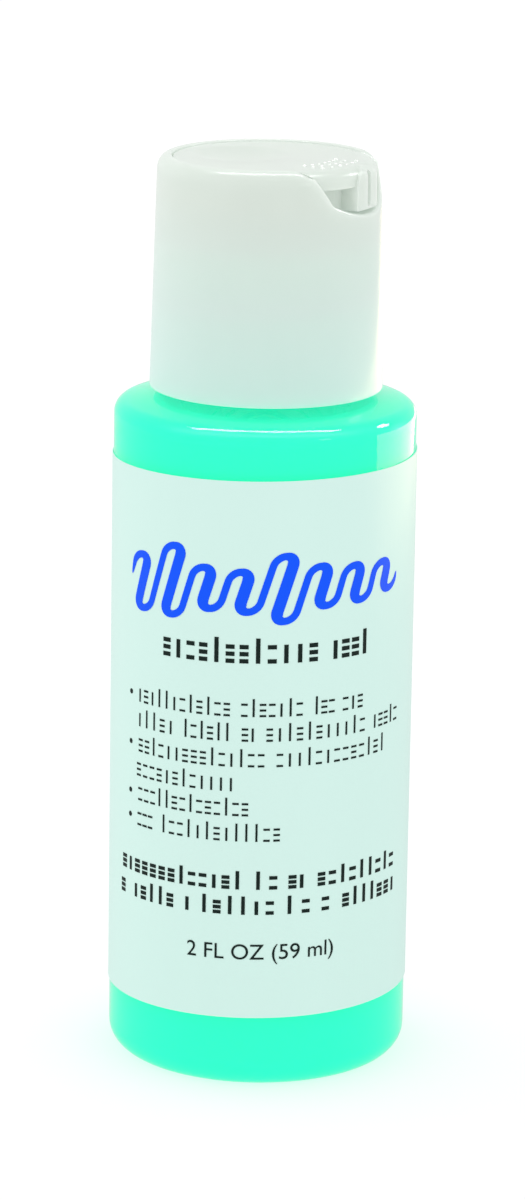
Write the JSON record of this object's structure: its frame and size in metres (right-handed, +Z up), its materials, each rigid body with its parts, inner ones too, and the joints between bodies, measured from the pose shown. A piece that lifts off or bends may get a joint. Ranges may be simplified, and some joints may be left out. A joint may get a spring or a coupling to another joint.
{
  "type": "ultrasound gel bottle",
  "caption": "Small clear cylinder bottle of coupling gel with a wrap label and a screw-on white press-top dispensing cap.",
  "frame": {"origin": "centre of the base, on the surface the bottle stands on", "axes": "+Z up along the bottle's axis; the printed front of the label faces -Y; the closed spout points 26 degrees from +X towards -Y"},
  "size_m": [0.035, 0.0349, 0.1058],
  "materials": {
    "clear_plastic": "clear blown plastic, glossy",
    "gel": "translucent blue-green gel",
    "label_film": "white film label, satin gloss",
    "washer_foam": "closed-cell foam",
    "white_plastic": "smooth white moulded plastic"
  },
  "bodies": {
    "bottle": {"bottle_shell": "clear_plastic", "gel_fill": "gel", "wrap_label": "label_film"},
    "washer": {"sealing_washer": "washer_foam"},
    "closure": {"cap_shell": "white_plastic"},
    "disc": {"disc_actuator": "white_plastic"}
  },
  "joints": [
    {"name": "cap_rise", "type": "slide", "parent": "bottle", "child": "washer", "axis": [0, 0, 1], "range_m": [0, 0.0048]},
    {"name": "cap_turn", "type": "hinge", "parent": "washer", "child": "closure", "pos_m": [0, 0, 0.0925], "axis": [0, 0, 1], "range_deg": [0, 540]},
    {"name": "disc_tilt", "type": "hinge", "parent": "closure", "child": "disc", "pos_m": [0, 0, 0.1037], "axis": [-0.4384, -0.8988, 0], "range_deg": [0, 25]}
  ],
  "couplings": [
    {"joint": "cap_rise", "follows": "cap_turn", "m_per_rad": 0.00050532}
  ]
}
